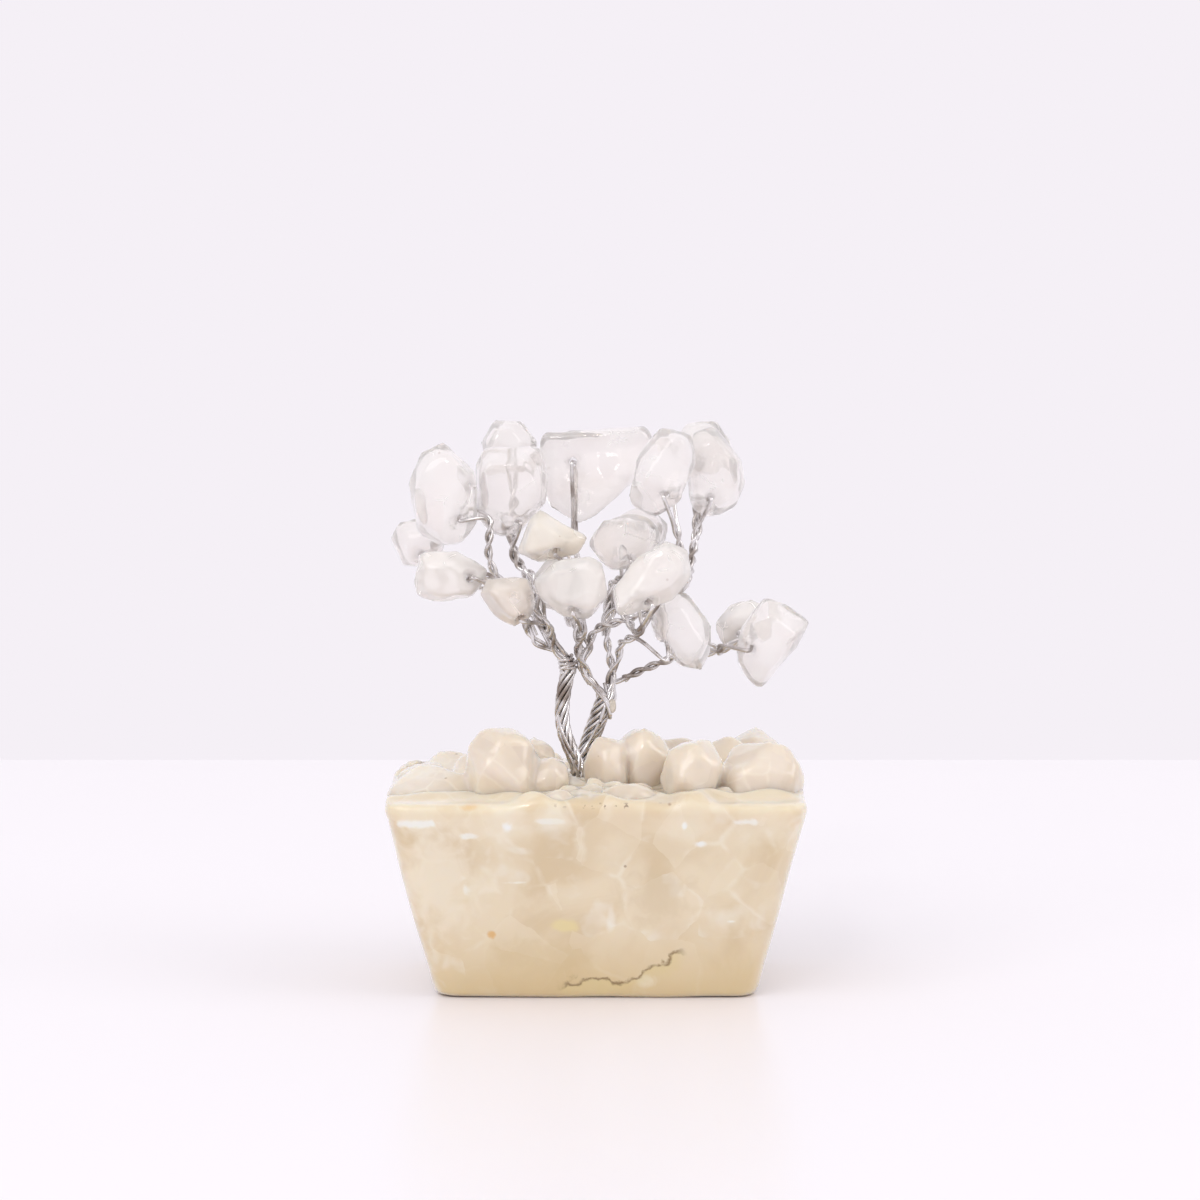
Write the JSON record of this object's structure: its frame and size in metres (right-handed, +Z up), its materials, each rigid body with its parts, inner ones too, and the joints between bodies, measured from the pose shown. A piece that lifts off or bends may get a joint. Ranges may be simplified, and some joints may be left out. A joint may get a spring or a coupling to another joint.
{
  "type": "gemstone tree ornament",
  "caption": "Small decorative tree of twisted silver wire with drilled clear quartz chips as leaves, standing in a tapered block of cream resin filled and topped with stone chips.",
  "frame": {"origin": "middle of the block's flat foot, on the surface it stands on", "axes": "+Z up, -Y towards the front (the pictured side), +X to the right seen from the front"},
  "size_m": [0.0441, 0.0296, 0.0588],
  "materials": {
    "resin": "clear cream resin, polished",
    "cast_chip": "milky quartz",
    "topping_stone": "tumbled milky quartz",
    "leaf_stone": "tumbled clear quartz",
    "wire": "silver craft wire, slightly tarnished"
  },
  "bodies": {
    "base": {"resin_base": "resin", "cast_chips_front": "cast_chip", "cast_chips_back": "cast_chip", "topping_front": "topping_stone", "topping_middle": "topping_stone", "topping_back": "topping_stone", "trunk_left": "wire", "trunk_right": "wire"},
    "left_limb": {"limb_left": "wire", "twig_left_outer": "wire", "twig_left_rear": "wire", "twig_left_top": "wire", "twig_left_low": "wire", "twig_left_front": "wire", "twig_left_back": "wire"},
    "crown_limb": {"branch_middle": "wire", "branch_right": "wire", "twig_middle_upper": "wire", "twig_middle_front": "wire", "twig_middle_clear": "wire", "twig_middle_rear": "wire", "twig_right_inner": "wire", "twig_right_front": "wire", "twig_right_upper": "wire", "twig_right_outer": "wire", "twig_right_rear": "wire", "twig_right_back": "wire", "twig_right_low": "wire"},
    "low_limb": {"limb_low": "wire", "twig_low_rear": "wire", "twig_low_outer": "wire"},
    "left_outer_stone": {"leaf_left_outer": "leaf_stone"},
    "left_rear_stone": {"leaf_left_rear": "leaf_stone"},
    "left_top_stone": {"leaf_left_top": "leaf_stone"},
    "left_low_stone": {"leaf_left_low": "leaf_stone"},
    "left_front_stone": {"leaf_left_front": "leaf_stone"},
    "left_back_stone": {"leaf_left_back": "leaf_stone"},
    "middle_upper_stone": {"leaf_middle_upper": "leaf_stone"},
    "middle_front_stone": {"leaf_middle_front": "leaf_stone"},
    "middle_clear_stone": {"leaf_middle_clear": "leaf_stone"},
    "middle_rear_stone": {"leaf_middle_rear": "leaf_stone"},
    "right_inner_stone": {"leaf_right_inner": "leaf_stone"},
    "right_front_stone": {"leaf_right_front": "leaf_stone"},
    "right_upper_stone": {"leaf_right_upper": "leaf_stone"},
    "right_outer_stone": {"leaf_right_outer": "leaf_stone"},
    "right_rear_stone": {"leaf_right_rear": "leaf_stone"},
    "right_back_stone": {"leaf_right_back": "leaf_stone"},
    "right_low_stone": {"leaf_right_low": "leaf_stone"},
    "low_rear_stone": {"leaf_low_rear": "leaf_stone"},
    "low_outer_stone": {"leaf_low_outer": "leaf_stone"}
  },
  "joints": [
    {"name": "left_limb_bend", "type": "hinge", "parent": "base", "child": "left_limb", "pos_m": [-0.0029, -0.0004, 0.0337], "axis": [0, -1, 0], "range_deg": [-1, 12]},
    {"name": "crown_limb_bend", "type": "hinge", "parent": "base", "child": "crown_limb", "pos_m": [0.0011, 0.0001, 0.0308], "axis": [0, 1, 0], "range_deg": [-1, 9]},
    {"name": "low_limb_bend", "type": "hinge", "parent": "crown_limb", "child": "low_limb", "pos_m": [0.0024, 0.0007, 0.0317], "axis": [0, 1, 0], "range_deg": [-6, 10]},
    {"name": "left_outer_swivel", "type": "hinge", "parent": "left_limb", "child": "left_outer_stone", "pos_m": [-0.01409, -0.00148, 0.04959], "axis": [0.1095, 0.9521, 0.2854], "range_deg": [-8, 8]},
    {"name": "left_rear_swivel", "type": "hinge", "parent": "left_limb", "child": "left_rear_stone", "pos_m": [-0.01814, 0.00539, 0.04512], "axis": [0.2967, 0.9493, 0.1038], "range_deg": [-8, 8]},
    {"name": "left_top_swivel", "type": "hinge", "parent": "left_limb", "child": "left_top_stone", "pos_m": [-0.0088, 0.002, 0.04865], "axis": [-0.4472, 0.8944, 0], "range_deg": [-8, 8]},
    {"name": "left_low_swivel", "type": "hinge", "parent": "left_limb", "child": "left_low_stone", "pos_m": [-0.01328, -0.00344, 0.04272], "axis": [-0.1977, 0.9276, -0.3169], "range_deg": [-8, 8]},
    {"name": "left_front_swivel", "type": "hinge", "parent": "left_limb", "child": "left_front_stone", "pos_m": [-0.00777, -0.00658, 0.04019], "axis": [0.0161, 0.8458, 0.5333], "range_deg": [-8, 8]},
    {"name": "left_back_swivel", "type": "hinge", "parent": "left_limb", "child": "left_back_stone", "pos_m": [-0.0093, 0.0095, 0.05501], "axis": [0.2946, 0.9534, -0.0659], "range_deg": [-8, 8]},
    {"name": "middle_upper_swivel", "type": "hinge", "parent": "crown_limb", "child": "middle_upper_stone", "pos_m": [-0.004, -0.0047, 0.04669], "axis": [0.1523, 0.8903, 0.4291], "range_deg": [-8, 8]},
    {"name": "middle_front_swivel", "type": "hinge", "parent": "crown_limb", "child": "middle_front_stone", "pos_m": [-0.0019, -0.00805, 0.04095], "axis": [0.229, 0.9071, 0.3532], "range_deg": [-8, 8]},
    {"name": "middle_clear_swivel", "type": "hinge", "parent": "crown_limb", "child": "middle_clear_stone", "pos_m": [-0.00228, 0.00748, 0.05446], "axis": [0.1491, 0.9839, -0.0984], "range_deg": [-8, 8]},
    {"name": "middle_rear_swivel", "type": "hinge", "parent": "crown_limb", "child": "middle_rear_stone", "pos_m": [-0.00353, 0.0063, 0.04019], "axis": [0.2595, 0.932, -0.253], "range_deg": [-8, 8]},
    {"name": "right_inner_swivel", "type": "hinge", "parent": "crown_limb", "child": "right_inner_stone", "pos_m": [0.00323, -0.00227, 0.04544], "axis": [-0.2611, 0.9383, 0.2268], "range_deg": [-8, 8]},
    {"name": "right_front_swivel", "type": "hinge", "parent": "crown_limb", "child": "right_front_stone", "pos_m": [0.0051, -0.0078, 0.04127], "axis": [-0.3617, 0.9234, 0.1285], "range_deg": [-8, 8]},
    {"name": "right_upper_swivel", "type": "hinge", "parent": "crown_limb", "child": "right_upper_stone", "pos_m": [0.00751, -0.001, 0.05176], "axis": [0.2711, 0.9602, 0.0678], "range_deg": [-8, 8]},
    {"name": "right_outer_swivel", "type": "hinge", "parent": "crown_limb", "child": "right_outer_stone", "pos_m": [0.01174, 0.00314, 0.05075], "axis": [-0.2622, 0.9431, -0.2043], "range_deg": [-8, 8]},
    {"name": "right_rear_swivel", "type": "hinge", "parent": "crown_limb", "child": "right_rear_stone", "pos_m": [0.00443, 0.00673, 0.04535], "axis": [-0.2278, 0.9626, -0.147], "range_deg": [-8, 8]},
    {"name": "right_back_swivel", "type": "hinge", "parent": "crown_limb", "child": "right_back_stone", "pos_m": [0.01129, 0.00989, 0.05471], "axis": [-0.2044, 0.9758, -0.0771], "range_deg": [-8, 8]},
    {"name": "right_low_swivel", "type": "hinge", "parent": "crown_limb", "child": "right_low_stone", "pos_m": [0.00733, -0.00325, 0.03727], "axis": [-0.1196, 0.2887, 0.9499], "range_deg": [-8, 8]},
    {"name": "low_rear_swivel", "type": "hinge", "parent": "low_limb", "child": "low_rear_stone", "pos_m": [0.01509, 0.00336, 0.03646], "axis": [-0.2171, 0.9728, -0.0804], "range_deg": [-8, 8]},
    {"name": "low_outer_swivel", "type": "hinge", "parent": "low_limb", "child": "low_outer_stone", "pos_m": [0.01636, -0.0018, 0.036], "axis": [0.0812, 0.955, 0.2854], "range_deg": [-8, 8]}
  ]
}
